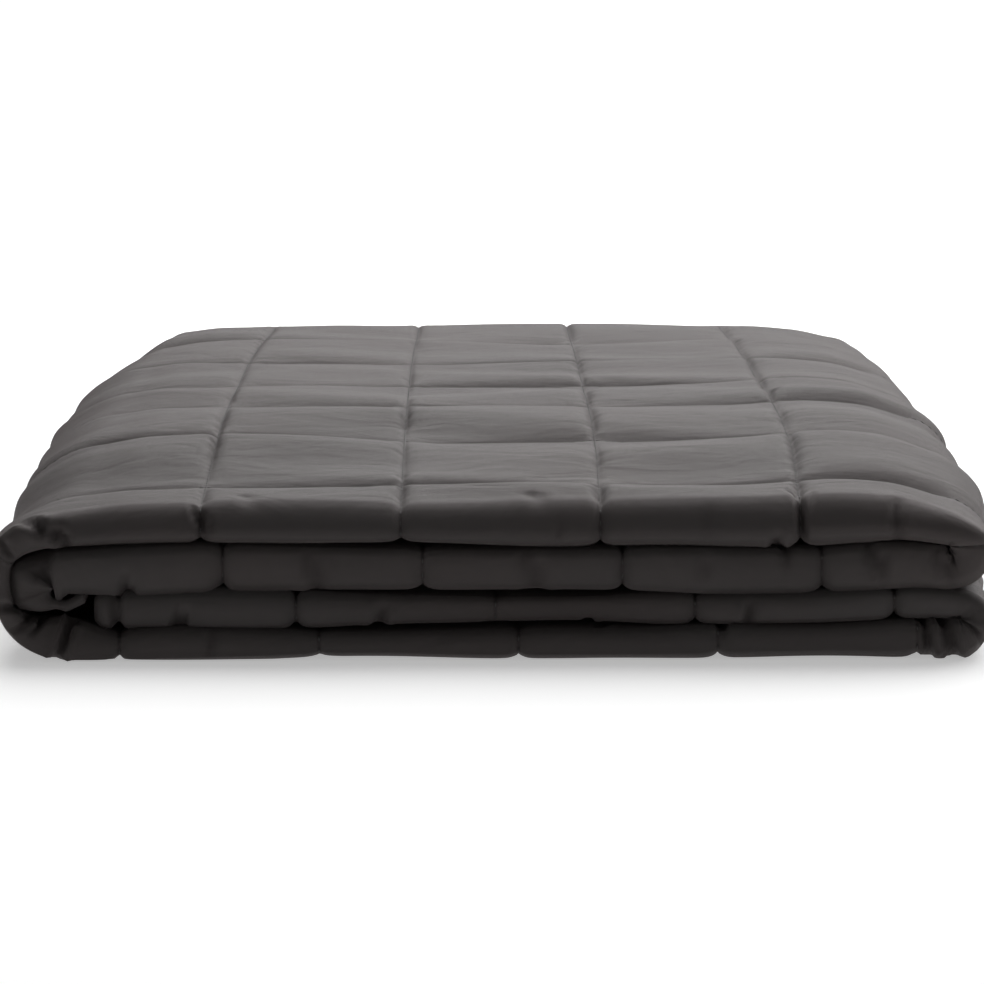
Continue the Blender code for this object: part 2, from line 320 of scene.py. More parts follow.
def roundFold(angle, reach, corner):  # how far forward and how high a point of the doubled edge lies
    turned = np.minimum(angle, math.pi - angle) / (math.pi / 2)
    level, bent = reach * (1 - corner), reach * corner
    gone = turned * (2 * level + bent * math.pi / 2)
    bend = np.clip((gone - level) / bent, 0, math.pi / 2)
    forward = np.minimum(gone, level) + bent * np.sin(bend)
    high = reach - bent * (1 - np.cos(bend)) - np.clip(gone - level - bent * math.pi / 2, 0, None)
    return forward, np.where(angle < math.pi / 2, high, -high)


def foldUp(along, across, offset, thick):  # flat cloth to its place in the stack
    ply = (thick - quilt["plyGap"]) / 2
    bend = (ply + quilt["plyGap"]) / 2
    turnStarts = quiltWide / 2 - bend * math.pi / 2
    angle = np.clip((across - turnStarts) / bend, 0, math.pi)
    outer = turnStarts - np.minimum(across, turnStarts)
    hidden = np.maximum(across - (quiltWide - turnStarts), 0)
    top = path["first"]
    onTop = smooth((along - top["from"] + stack["slopeRight"]) / stack["slopeSoftness"])
    onTop = onTop * smooth((top["from"] + top["long"] - along + stack["slopeLeft"]) / stack["slopeSoftness"])
    corner = blend(stack["foldCorner"], stack["topFoldCorner"], onTop)
    forward, outwards = roundFold(angle, np.maximum(bend + offset, 1e-5), corner)
    behind = bend + ply / 2 - forward + outer + hidden
    sloping = onTop * np.clip(1 - behind / stack["frontSlopeLong"], 0, 1) ** 2
    level = outwards / (thick / 2)
    above = level * (1 - stack["frontPress"] * sloping) - stack["frontDrop"] * sloping
    below = (level + 1) * (1 - stack["frontDrop"] * sloping) - 1
    tucked = onTop * np.clip(-level, 0, 1) ** 2 * (behind < stack["frontSlopeLong"])
    behind = behind + stack["tuck"] * tucked
    leaning = np.clip((level - stack["leanFrom"]) / (1 - stack["leanFrom"]), 0, 1)
    leaning = leaning * np.clip(1 - behind / stack["frontSlopeLong"], 0, 1)
    behind = behind + stack["lean"] * onTop * leaning
    outwards = np.where(level > 0, above, below) * thick / 2
    x, z, setback = inSection(along, outwards, thick)
    return settle(x, stack["frontY"] + setback + behind, z)


quilting = {  # a patch of the quilt, sewn and then drawn in by its seams, ten times its real size
    "blocks": 4,
    "cuts": 32,  # in every block, as fine as the blanket's own
    "crowding": 0.5,  # how much closer together the points lie at the seams
    "times": 10,
    "shrinkLong": 0.01,
    "shrinkWide": 0.02,
    "filling": 2.0,  # how hard the filling pushes out
    "startRise": 0.04,
    "startSoftness": 0.06,
    "ripple": 0.003,
    "ripples": 60,
    "rippleAlong": 0.5,  # waves in a block
    "rippleAcross": 4.0,
    "grit": 0.3,
    "drawnByFrame": 15,
    "lastFrame": 36,
    "seed": 7,
    "plainRise": 0.0072,  # of a block that isn't simulated
    "plainFold": 0.0004,
    "plainSoftness": 0.1,
}


def crowd(count):  # blocks counted evenly, with their points moved towards the seams
    return count - quilting["crowding"] * np.sin(2 * np.pi * count) / (2 * np.pi)


def seamRise(count, softness):  # 0 on a seam, near 1 half a block away
    return 1 - np.exp(-np.abs(count - np.round(count)) / softness)


def patchStart(grid):  # the patch's points before the seams draw in, with a few shallow ripples
    size = quilt["blockLong"] * quilting["times"]
    softness = quilting["startSoftness"] / size
    long, wide = grid[:, 0], grid[:, 1]
    chance = np.random.default_rng(quilting["seed"])
    ripple = np.zeros(len(grid))
    for wave in range(quilting["ripples"]):
        turns = chance.normal(0, quilting["rippleAlong"]) * long
        turns = turns + chance.normal(0, quilting["rippleAcross"]) * wide
        ripple += chance.normal() * np.cos(2 * np.pi * turns + chance.uniform(0, 6.28))
    ripple = ripple / ripple.std() + quilting["grit"] * chance.normal(0, 1, len(grid))
    rise = seamRise(long, softness) * seamRise(wide, softness)
    height = rise * (quilting["startRise"] + quilting["ripple"] * ripple)
    return np.stack([long * size, wide * size, height], axis=1)


def addClothPhysics(patch):
    physics = patch.modifiers.new("quiltedCloth", "CLOTH")
    physics.point_cache.frame_start, physics.point_cache.frame_end = 1, quilting["lastFrame"]
    physics.collision_settings.use_collision = False
    settings = physics.settings
    settings.quality = 6
    settings.mass = 0.3
    settings.vertex_group_mass = "seams"
    settings.tension_stiffness = settings.compression_stiffness = 15
    settings.shear_stiffness = 5
    settings.bending_stiffness = 5
    settings.effector_weights.gravity = 0
    settings.use_pressure = True
    settings.uniform_pressure_force = quilting["filling"]


def sortIntoBlocks(place, shifts):  # one square of shifts for every block of the patch
    blocks, cuts = quilting["blocks"], quilting["cuts"]
    whole = np.zeros((blocks * cuts + 1, blocks * cuts + 1, 3))
    whole[place[:, 0], place[:, 1]] = shifts
    return [
        whole[i * cuts:(i + 1) * cuts + 1, j * cuts:(j + 1) * cuts + 1]
        for i in range(blocks) for j in range(blocks)]


def simulatePatch():  # how far every point of the patch's blocks has moved, in blocks and in metres
    blocks, cuts = quilting["blocks"], quilting["cuts"]
    tidySelection()
    bpy.ops.mesh.primitive_grid_add(
        x_subdivisions=blocks * cuts, y_subdivisions=blocks * cuts, size=blocks, location=(0, 0, 0))
    patch = bpy.context.object
    points = len(patch.data.vertices)
    grid = np.zeros(points * 3)
    patch.data.vertices.foreach_get("co", grid)
    steps = np.round((grid.reshape(-1, 3)[:, :2] + blocks / 2) * cuts).astype(int)
    grid = crowd(steps / cuts)
    start = patchStart(grid)
    shrunk = start * (1 - quilting["shrinkLong"], 1 - quilting["shrinkWide"], 1)
    patch.shape_key_add(name="sewn").data.foreach_set("co", start.ravel())
    drawn = patch.shape_key_add(name="drawn")
    drawn.data.foreach_set("co", shrunk.ravel())
    for frameNumber, value in ((1, 0), (quilting["drawnByFrame"], 1)):
        drawn.value = value
        drawn.keyframe_insert("value", frame=frameNumber)
    onSeam = np.abs(grid - np.round(grid)).min(axis=1) < 1e-4
    patch.vertex_groups.new(name="seams").add(np.nonzero(onSeam)[0].tolist(), 1.0, "REPLACE")
    addClothPhysics(patch)
    for frameNumber in range(1, quilting["lastFrame"] + 1):
        bpy.context.scene.frame_set(frameNumber)
    puffed = patch.evaluated_get(bpy.context.evaluated_depsgraph_get()).to_mesh()
    moved = np.zeros(points * 3)
    puffed.vertices.foreach_get("co", moved)
    moved = moved.reshape(-1, 3)
    size = shrunk[:, :2].max(axis=0) / blocks
    shifts = np.column_stack([moved[:, :2] / size - grid, moved[:, 2] / quilting["times"]])
    bpy.data.objects.remove(patch)
    bpy.context.scene.frame_set(1)
    return sortIntoBlocks(steps, shifts)


sewnBlocks = simulatePatch()
plumpness = float(np.mean([np.percentile(block[..., 2], 80) for block in sewnBlocks]))
print("quilting:", len(sewnBlocks), "blocks,", round(1000 * plumpness, 1), "mm high")

blanket = {
    "coarseCuts": 3,  # in every block
    "fineCuts": 7,  # again, where it shows
    "finestCuts": 1,  # again, where the front is creased
    "topBlocks": (4, 10),  # along the quilt, from the fold on the right to the spine
    "lowerFoldBlock": 15,
    "creasedBand": 0.11,  # in blocks from the fold
    "fullness": 1.5,  # how far the filling squares up a block's profile
    "seamDepth": 0.76,  # as a share of the full depth, for the filling below lifts the seams
    "thinSeamDepth": 0.95,  # where the layers thin towards the spine
    "thinEase": 0.010,
    "turnSeamDepth": 0.35,  # how much of that depth is left round the sides
    "turnReach": 0.006,  # how far before a turn that starts
    "turnSoftness": 0.014,
    "sharpness": 3.6,  # how much narrower the seams across the folds are than simulated
    "rowSeamLift": 0.0002,  # the seams along the folds ride higher between their crossings
    "rowSeamLifts": {1: -0.0012, 2: 0.0014, 4: 0.0006, 5: -0.0006, 6: -0.0012},  # looser or tighter ones
    "liftSoftness": 0.16,
    "columnSeamLift": 0.0013,  # and so do those across the folds, from here behind the front
    "columnSeamFrom": 0.030,
    "columnSeamLong": 0.009,
    "hemLong": 0.0115,
    "hemStitch": 0.0022,
    "hemDepth": 0.8,
    "hemBulge": 0.0014,
    "frontNotch": 0.24,  # how far the seams pull in where the cloth doubles over, as a share
    "frontNotchLong": 0.0085,
    "cornerNotch": 0.5,  # and more where the doubled edge turns its corners
    "cornerNotchAt": 0.0055,
    "cornerNotchLong": 0.0055,
    "frontCrease": 0.42,
    "frontCreaseLong": 0.0021,
    "frontLong": 0.033,  # how far behind the fold the front's seams ease into the others
    "frontEase": 1.3,
    "plainEnd": 0.03,  # at both ends of the quilt, where the front's seams aren't pulled in
    "dents": 0.0011,
    "dentLong": 0.03,
    "dentWaves": 50,
    "dentStretch": 1.6,
    "dentSeed": 11,
    "creasing": 1.8,
    "creaseStretch": 1.6,  # the cloth's outer side is longer round the front fold than its middle
    "creaseLip": 0.22,  # the cloth stands up a little on both sides of a crease
    "creaseLipAt": 1.9,
    "creaseLipWide": 0.9,
    "creaseEnd": 0.15,  # how much of a crease's depth is left at its ends
    "creaseFade": 3.5,
    "deepFold": 0.0022,  # a fold this deep gets the darkest painted shade
    "thinCloth": 0.006,  # cloth as thin as this has no dents or creases
    "dentEase": 0.008,  # how much thicker it is where it has them in full
    "creaseEase": 0.006,
    "fill": 0.45,
}

# folds in the cloth at the front: where each runs, along the quilt and from its front fold, in millimetres
creases = [
    # top layer, left
    {"line": ((922.0, -8.1), (918.9, -4.7), (915.6, 0.1)), "deep": 2.2, "wide": 2.2},
    {"line": ((913.0, -1.3), (905.3, 5.0)), "deep": 2.8, "wide": 2.8},
    # its first seam
    {"line": ((850.2, -6.6), (849.1, -4.4), (844.8, 0.0), (843.3, 5.1)), "deep": 1.9, "wide": 1.8},
    {"line": ((846.5, -4.4), (840.7, 0.0), (840.0, 3.4)), "deep": 1.1, "wide": 1.6},
    {"line": ((827.2, -16.7), (822.3, -4.4)), "deep": 0.6, "wide": 4.0},
    {"line": ((696.3, -16.7), (691.6, -7.9), (688.4, -4.4)), "deep": 0.6, "wide": 4.0},
    {"line": ((684.0, 0.0), (681.4, 2.5)), "deep": 0.7, "wide": 3.0},
    {"line": ((615.3, -4.4), (614.9, 4.2)), "deep": 0.35, "wide": 3.5},
    {"line": ((584.5, 2.5), (581.3, 8.6)), "deep": 2.0, "wide": 2.4},
    # its last seam
    {"line": ((577.7, -15.5), (572.1, -7.1)), "deep": 1.0, "wide": 1.8},
    {"line": ((572.1, -7.1), (571.6, 0.0), (570.5, 5.4)), "deep": 1.6, "wide": 1.7},
    {"line": ((569.0, -4.4), (564.0, -6.6)), "deep": 0.9, "wide": 1.8},
    {"line": ((523.1, -6.6), (527.9, -4.2), (528.5, 0.0), (526.0, 6.1)), "deep": 1.3, "wide": 2.2},
    # second layer, left
    {"line": ((36.1, 7.1), (34.5, 1.3), (34.0, -2.2), (35.6, -3.3)), "deep": 2.0, "wide": 2.2},
    {"line": ((34.2, 4.5), (32.5, -1.4)), "deep": 0.9, "wide": 2.2},
    {"line": ((67.7, -1.9), (70.7, -4.3), (73.7, -5.7)), "deep": 1.9, "wide": 2.6},
    {"line": ((150.9, 3.8), (155.8, 0.0), (160.6, -5.3)), "deep": 1.2, "wide": 3.6},
    {"line": ((156.9, 4.8), (167.8, -1.1)), "deep": 0.6, "wide": 3.6},
    {"line": ((249.5, 4.5), (258.1, -0.5), (256.0, -6.6)), "deep": 0.9, "wide": 4.0},
    {"line": ((329.6, 2.2), (338.5, 0.0)), "deep": 0.6, "wide": 3.0},
    {"line": ((368.9, 8.5), (374.3, 1.6)), "deep": 1.0, "wide": 2.4},
    {"line": ((406.5, 4.9), (413.3, 1.4), (419.2, -2.2)), "deep": 1.4, "wide": 2.6},
    {"line": ((437.7, 3.5), (441.9, 0.9), (451.4, -2.2)), "deep": 1.3, "wide": 2.6},
    {"line": ((442.8, 9.6), (455.3, 0.0)), "deep": 2.2, "wide": 2.0},
    # third layer
    {"line": ((1844.5, -4.4), (1841.7, 5.4)), "deep": 0.9, "wide": 1.8},
    {"line": ((1816.7, 0.1), (1814.1, 1.8), (1808.2, 2.2)), "deep": 1.8, "wide": 2.6},
    {"line": ((1718.5, -2.2), (1723.5, 6.6)), "deep": 1.2, "wide": 2.6},
    {"line": ((1627.3, 3.7), (1624.9, 6.9)), "deep": 1.8, "wide": 2.2},
    {"line": ((1551.6, -2.5), (1552.7, 4.0)), "deep": 1.4, "wide": 2.2},
    # bottom layer, left
    {"line": ((976.6, -2.7), (972.6, 8.6)), "deep": 1.4, "wide": 2.4},
    {"line": ((984.7, 0.0), (981.1, 7.7), (987.5, 7.2)), "deep": 1.8, "wide": 2.4},
    {"line": ((998.0, -5.4), (1003.6, 2.3), (1007.2, 6.7)), "deep": 2.0, "wide": 2.0},
    {"line": ((1001.9, 0.0), (1010.4, 5.9)), "deep": 1.6, "wide": 1.8},
    {"line": ((1071.0, 3.1), (1070.7, -1.5)), "deep": 0.8, "wide": 2.4},
    # spine
    {"line": ((932.5, -2.2), (931.0, 0.0)), "deep": 1.6, "wide": 2.4},
    {"line": ((959.3, -3.0), (962.6, 2.7), (963.9, 13.6)), "deep": 1.8, "wide": 2.4},
    {"line": ((1246.8, 5.7), (1252.8, 10.1)), "deep": 1.0, "wide": 3.0},
    {"line": ((1302.5, 12.9), (1306.6, 1.8)), "deep": 1.5, "wide": 2.2},
    # bottom layer, right
    {"line": ((1393.3, 12.9), (1397.9, 4.4), (1400.6, -8.5)), "deep": 2.0, "wide": 2.2},
    {"line": ((1401.3, 11.5), (1407.6, 1.7), (1413.2, -7.3)), "deep": 2.4, "wide": 2.6},
    {"line": ((1433.0, 6.5), (1428.0, 2.0), (1425.0, -4.0)), "deep": 2.0, "wide": 1.8},
]


def makeSlab():  # the quilt laid flat, counted in blocks, its outer cover at z 1 and its inner one at -1
    tidySelection()
    bpy.ops.mesh.primitive_grid_add(
        x_subdivisions=quilt["blocksLong"], y_subdivisions=quilt["blocksWide"], size=1, location=(0, 0, 0))
    slab = bpy.context.object
    slab.name = "quilted_blanket"
    slab.scale = (quilt["blocksLong"], quilt["blocksWide"], 1)
    slab.location = (quilt["blocksLong"] / 2, quilt["blocksWide"] / 2, -1)
    bpy.ops.object.transform_apply(location=True, rotation=True, scale=True)
    bpy.ops.object.mode_set(mode="EDIT")
    bpy.ops.mesh.select_mode(type="FACE")
    bpy.ops.mesh.select_all(action="SELECT")
    bpy.ops.mesh.extrude_region_move(TRANSFORM_OT_translate={"value": (0, 0, 2)})
    bpy.ops.mesh.select_all(action="SELECT")
    bpy.ops.mesh.normals_make_consistent(inside=False)
    bpy.ops.mesh.subdivide(number_cuts=blanket["coarseCuts"])
    bpy.ops.object.mode_set(mode="OBJECT")
    return slab


def selectFaces(piece, wanted):
    mesh = piece.data
    centres = np.zeros(len(mesh.polygons) * 3)
    mesh.polygons.foreach_get("center", centres)
    chosen = wanted(centres.reshape(-1, 3))
    mesh.polygons.foreach_set("select", chosen)
    points = np.zeros(len(mesh.vertices), bool)
    for polygon in np.nonzero(chosen)[0]:
        points[list(mesh.polygons[polygon].vertices)] = True
    mesh.vertices.foreach_set("select", points)
    mesh.edges.foreach_set("select", np.zeros(len(mesh.edges), bool))


def inSight(centres):  # the outer cover on top, round the spine, on the right folds and in every front fold
    along, across = np.floor(centres[:, 0]), np.floor(centres[:, 1])
    front = quilt["blocksWide"] // 2
    first, last = blanket["topBlocks"]
    seen = (along >= first) & (along <= last) | (along == blanket["lowerFoldBlock"])
    return (centres[:, 2] > 0.99) & ((across == front) | seen & (across <= front))


def nearFold(centres):  # the faces of the front, where the cloth doubles over
    fromFold = np.abs(centres[:, 1] - quilt["blocksWide"] / 2)
    return (centres[:, 2] > 0.99) & (fromFold < blanket["creasedBand"])


def refine(piece):
    for wanted, cuts in ((inSight, blanket["fineCuts"]), (nearFold, blanket["finestCuts"])):
        selectFaces(piece, wanted)
        bpy.ops.object.mode_set(mode="EDIT")
        bpy.ops.mesh.subdivide(number_cuts=cuts)
        bpy.ops.object.mode_set(mode="OBJECT")
    bpy.ops.object.mode_set(mode="EDIT")
    bpy.ops.mesh.select_all(action="SELECT")
    bpy.ops.mesh.quads_convert_to_tris(quad_method="FIXED", ngon_method="BEAUTY")
    bpy.ops.object.mode_set(mode="OBJECT")


def sewnShift(blocksAlong, blocksAcross, cover):  # what sewing and filling do to each point of a cover
    longest, widest = quilt["blocksLong"] - 1, quilt["blocksWide"] - 1
    i = np.clip(np.floor(blocksAlong + 1e-6), 0, longest).astype(int)
    j = np.clip(np.floor(blocksAcross + 1e-6), 0, widest).astype(int)
    cuts = quilting["cuts"]
    u, v = blocksAlong - i, (blocksAcross - j) * cuts
    u = cuts * (0.5 + 0.5 * np.sign(2 * u - 1) * np.abs(2 * u - 1) ** blanket["sharpness"])
    flipLong, flipWide = (i + 2 * j) % 4 == 1, (3 * i + j) % 5 > 2
    u, v = np.where(flipLong, cuts - u, u), np.where(flipWide, cuts - v, v)
    kind = (5 * i + 3 * j + (i * j) % 7) % len(sewnBlocks)
    every = np.stack(sewnBlocks)
    p = np.clip(np.floor(u + 1e-4), 0, cuts - 1).astype(int)
    q = np.clip(np.floor(v + 1e-4), 0, cuts - 1).astype(int)
    u, v = (u - p)[:, None], (v - q)[:, None]
    near, far = (blend(every[kind, p, side], every[kind, p + 1, side], u) for side in (q, q + 1))
    shift = blend(near, far, v)
    shift[flipLong, 0] *= -1
    shift[flipWide, 1] *= -1
    return shift * (np.abs(cover) > 0.99)[:, None]


def squareUp(swell, depth):  # fuller near the seams, with the middle pressed flatter
    pressed = np.clip(swell, 0, None)
    fuller = (1 - np.exp(-blanket["fullness"] * pressed)) / (1 - math.exp(-blanket["fullness"]))
    return 1 - depth * (1 - np.where(swell > 0, fuller, swell))


def seamDepth(along, thick):
    thin = 1 - smooth((thick - stack["spineThick"]) / blanket["thinEase"])
    depth = blend(blanket["seamDepth"], blanket["thinSeamDepth"], thin)
    for name in ("upperFold", "spine", "lowerFold"):
        middle = path[name]["from"] + path[name]["long"] / 2
        into = path[name]["long"] / 2 + blanket["turnReach"] - np.abs(along - middle)
        depth = depth * blend(1, blanket["turnSeamDepth"], smooth(into / blanket["turnSoftness"]))
    return depth


def creasesAt(along, across):  # folds in the cloth at the front, each a line of places on the flat quilt
    height = np.zeros_like(along)
    fromFold = (across - quiltWide / 2) * blanket["creaseStretch"]
    for crease in creases:
        places = [(far / 1000, behind / 1000 * blanket["creaseStretch"]) for far, behind in crease["line"]]
        lengths = [math.dist(*ends) for ends in zip(places, places[1:])]
        nearest, share, passed = np.full_like(along, 9.0), np.zeros_like(along), 0.0
        for (startX, startY), (endX, endY), long in zip(places, places[1:], lengths):
            reached = (along - startX) * (endX - startX) + (fromFold - startY) * (endY - startY)
            reached = np.clip(reached / long ** 2, 0, 1)
            away = np.hypot(along - blend(startX, endX, reached), fromFold - blend(startY, endY, reached))
            share = np.where(away < nearest, (passed + reached * long) / sum(lengths), share)
            nearest = np.minimum(nearest, away)
            passed += long
        fade = smooth(blanket["creaseEnd"] + np.minimum(share, 1 - share) * blanket["creaseFade"])
        away = nearest / (crease["wide"] / 1000)
        lips = np.exp(-((away - blanket["creaseLipAt"]) / blanket["creaseLipWide"]) ** 2)
        fold = blanket["creaseLip"] * lips - np.exp(-away ** 2)
        height += blanket["creasing"] * crease["deep"] / 1000 * fade * fold
    return height


def pressFront(swell, along, across, blocksAlong):  # in the front folds the filling closes up on the seams
    b = blanket
    fromSeam = np.abs(along - seamPlace(np.round(blocksAlong)))
    fromFold = np.abs(across - quiltWide / 2)
    notch = b["frontNotch"] + b["cornerNotch"] * bell(fromFold, b["cornerNotchAt"], b["cornerNotchLong"])
    pressed = 1 - notch * np.exp(-fromSeam / b["frontNotchLong"])
    pressed = pressed - b["frontCrease"] * np.exp(-(fromSeam / b["frontCreaseLong"]) ** 2)
    atFront = smooth(b["frontEase"] - fromFold / b["frontLong"])
    atFront = atFront * (np.minimum(along, quiltLong - along) > b["plainEnd"])
    return blend(swell, np.maximum(swell, pressed), atFront)


def dentsAt(along, across):  # soft hand-sized unevenness
    chance = np.random.default_rng(blanket["dentSeed"])
    dents = np.zeros_like(along)
    for wave in range(blanket["dentWaves"]):
        long, wide = chance.normal(0, 1 / blanket["dentLong"], 2) * (1, blanket["dentStretch"])
        dents += chance.normal() * np.cos(long * along + wide * across + chance.uniform(0, 6.28))
    return blanket["dents"] * dents / dents.std()


def onQuilt(blocksAlong, blocksAcross, cover):  # what becomes of points of the quilt, sewn, filled and folded
    shift = sewnShift(blocksAlong, blocksAcross, cover)
    blocksAlong, blocksAcross = crowd(blocksAlong), crowd(blocksAcross)
    along, across = seamPlace(blocksAlong), blocksAcross * quilt["blockWide"]
    thick = layThickness(along)
    swell = squareUp(shift[:, 2] / plumpness, seamDepth(along, thick))
    for hem in (blanket["hemLong"], quiltLong - blanket["hemLong"]):
        swell = swell * (1 - blanket["hemDepth"] * np.exp(-((along - hem) / blanket["hemStitch"]) ** 2))
    swell = pressFront(swell, along, across, blocksAlong)
    half = (thick - quilt["plyGap"]) / 4
    lift = np.full_like(along, blanket["rowSeamLift"])
    for row, rowLift in blanket["rowSeamLifts"].items():
        lift[np.round(blocksAcross) == row] = rowLift
    lift = lift * seamRise(blocksAlong, blanket["liftSoftness"])
    fromColumn = np.abs(along - seamPlace(np.round(blocksAlong))) / blanket["columnSeamLong"]
    fromFront = np.abs(across - quiltWide / 2) / blanket["columnSeamFrom"]
    lift = lift + blanket["columnSeamLift"] * np.exp(-fromColumn ** 2) * smooth(fromFront - 1)
    seam = quilt["seamThick"] / 2 + np.where(cover > 0, lift, 0) * (1 - np.clip(swell, 0, 1))
    offset = cover * (seam + (half - quilt["seamThick"] / 2) * swell)
    padded = thick - blanket["thinCloth"]
    dents = dentsAt(along, across) * np.clip(swell, 0, 1) * smooth(padded / blanket["dentEase"])
    creased = creasesAt(along, across) * smooth(padded / blanket["creaseEase"])
    offset = offset + np.where(cover > 0.99, dents + creased, 0)
    bulge = blanket["hemBulge"] * (1 - cover ** 2)
    across = across + np.where(blocksAcross > quilt["blocksWide"] - 1e-4, bulge, 0)
    across = across - np.where(blocksAcross < 1e-4, bulge, 0)
    pulledAlong, pulledAcross = shift[:, 0] * quilt["blockLong"], shift[:, 1] * quilt["blockWide"]
    return {
        "place": foldUp(along + pulledAlong, across + pulledAcross, offset, thick),
        "along": along, "across": across, "swell": swell,
        # how deep a point lies in a crease, for the painted shade in the folds
        "folds": np.clip(-creased / blanket["deepFold"], 0, 1),
    }


def layFlatMap(mesh, along, across):  # a UV map in metres of the flat quilt, for weave, and the painted shade along the stitched seams' lines
    corners = np.zeros(len(mesh.loops), int)
    mesh.loops.foreach_get("vertex_index", corners)
    while mesh.uv_layers:
        mesh.uv_layers.remove(mesh.uv_layers[0])
    flatMap = mesh.uv_layers.new(name="flatQuilt")
    flatMap.data.foreach_set("uv", np.stack([along[corners], across[corners]], axis=1).ravel())


def shapeBlanket(piece):
    mesh = piece.data
    flat = np.zeros(len(mesh.vertices) * 3)
    mesh.vertices.foreach_get("co", flat)
    found = onQuilt(*flat.reshape(-1, 3).T)
    mesh.vertices.foreach_set("co", found["place"].ravel())
    mesh.update()
    layFlatMap(mesh, found["along"], found["across"])
    for name in ("swell", "folds"):
        mesh.attributes.new(name, "FLOAT", "POINT").data.foreach_set("value", found[name])
    for polygon in mesh.polygons:
        polygon.use_smooth = True


quiltedBlanket = makeSlab()
refine(quiltedBlanket)
shapeBlanket(quiltedBlanket)
print("blanket:", len(quiltedBlanket.data.polygons), "faces")

stitching = {
    "long": 0.0028,
    "gap": 0.0010,
    "wide": 0.0007,
    "proud": 0.0004,  # above the seam it holds down
    "topColumns": (4, 11),  # the seams across the folds that show from above, and their start
    "topStart": 0.12,
    "foldReach": 0.17,  # in blocks either side of the front fold
    "rows": (1, 6),
    "rowSpans": ((4, 11), (15, 16)),
    "step": 0.004,  # how far apart the cloth is felt for its slope
    # the thread is the cloth's own charcoal, painted lighter as a highlight where it catches the light
    "colour": (0.034, 0.031, 0.030, 1),
    "blotches": 60.0,  # in a metre
    "roughness": 0.45,
    "twists": 1400.0,
    "twistDepth": 0.0001,
}


def uncrowd(count):  # the way back from crowd
    places = np.linspace(0, quilt["blocksLong"], 2001)
    return np.interp(count, crowd(places), places)


def stitchMiddles():  # where on the quilt every stitch has its middle, and whether it runs along the quilt
    pitch = stitching["long"] + stitching["gap"]
    spots = []

    def sew(fixed, start, end, blockSize, runsAlong):
        count = int(abs(end - start) * blockSize / pitch)
        free = uncrowd(start + (np.arange(count) + 0.5) * (end - start) / count)
        pair = (free, np.full(count, float(fixed))) if runsAlong else (np.full(count, float(fixed)), free)
        spots.append(np.column_stack([*pair, np.full(count, float(runsAlong))]))

    first, last = stitching["topColumns"]
    middle = quilt["blocksWide"] / 2
    for column in range(1, quilt["blocksLong"]):
        start = stitching["topStart"] if first <= column <= last else middle - stitching["foldReach"]
        sew(column, start, middle + stitching["foldReach"], quilt["blockWide"], False)
    for row in range(stitching["rows"][0], stitching["rows"][1] + 1):
        for start, end in stitching["rowSpans"]:
            sew(row, start, end, quilt["blockLong"], True)
    return np.concatenate(spots)


def makeStitches():
    tidySelection()
    bpy.ops.mesh.primitive_ico_sphere_add(subdivisions=1, radius=1, location=(0, 0, 0))
    stitches = bpy.context.object
    stitches.name = "seam_stitches"
    bpy.ops.object.mode_set(mode="EDIT")
    bpy.ops.mesh.select_all(action="SELECT")
    bpy.ops.mesh.normals_make_consistent(inside=False)
    bpy.ops.object.mode_set(mode="OBJECT")
    one = np.array([vertex.co[:] for vertex in stitches.data.vertices])
    faces = np.array([polygon.vertices[:] for polygon in stitches.data.polygons])
    spots = stitchMiddles()
    along, across, runsAlong = spots.T
    cover, step = np.ones_like(along), stitching["step"]

    def placeAt(moveAlong, moveAcross, depth=1.0):
        return onQuilt(along + moveAlong, across + moveAcross, cover * depth)["place"]

    def unit(vectors):
        return vectors / np.linalg.norm(vectors, axis=1)[:, None]

    middle = placeAt(0, 0)
    alongWay, acrossWay = placeAt(step, 0) - placeAt(-step, 0), placeAt(0, step) - placeAt(0, -step)
    lengthwise = unit(np.where(runsAlong[:, None] > 0.5, alongWay, acrossWay))
    sideways = np.where(runsAlong[:, None] > 0.5, acrossWay, alongWay)
    outwards = unit(np.cross(lengthwise, sideways))
    outwards *= np.sign(np.sum(outwards * (middle - placeAt(0, 0, 0.5)), axis=1))[:, None]
    sideways = np.cross(outwards, lengthwise)
    size = (stitching["long"] / 2, stitching["wide"] / 2, stitching["proud"])
    points = middle[:, None] + sum(
        size[axis] * one[None, :, axis, None] * way[:, None]
        for axis, way in enumerate((lengthwise, sideways, outwards)))
    every = faces[None] + (np.arange(len(spots)) * len(one))[:, None, None]
    mesh = bpy.data.meshes.new("seam_stitches")
    mesh.from_pydata(points.reshape(-1, 3).tolist(), [], every.reshape(-1, 3).tolist())
    stitches.data = mesh
    for polygon in mesh.polygons:
        polygon.use_smooth = True
    return stitches


seamStitches = makeStitches()
print("stitches:", len(seamStitches.data.polygons), "faces")

cloth = {
    "warm": (0.0250, 0.0222, 0.0215, 1),
    "cool": (0.0205, 0.0210, 0.0206, 1),
    "patches": 7.0,  # of warm and cool, in a metre
    "patchFrom": -0.8,  # how strongly they stand apart
    "patchTo": 1.8,
    "seamShade": 0.7,  # painted shade darkens the cloth beside the seams, where its swell is below these
    "shadeFrom": 0.24,
    "shadeTo": 0.42,
    # painted shade along the seams' lines and in the creases: the lines' width, and the share of colour left
    # on them
    "lineWidth": 0.0013,
    "rowShade": 0.25,
    "columnShade": 0.32,
    "foldShade": 0.35,
    "roughness": 0.6,
    "sheen": 0.10,
    "sheenRoughness": 0.5,
    "shineTint": (1.0, 0.86, 0.85, 1),
    "threads": 9000.0,  # in a metre
    "weaveDepth": 0.00003,
    "puckers": (30, 210, 1),  # in a metre, along and across
    "puckerDepth": 0.0011,
    "puckerRest": 0.2,  # how much of that is left in the middle of a block
    "wrinkles": (22, 48, 1),
    "wrinkleDepth": 0.0016,
}


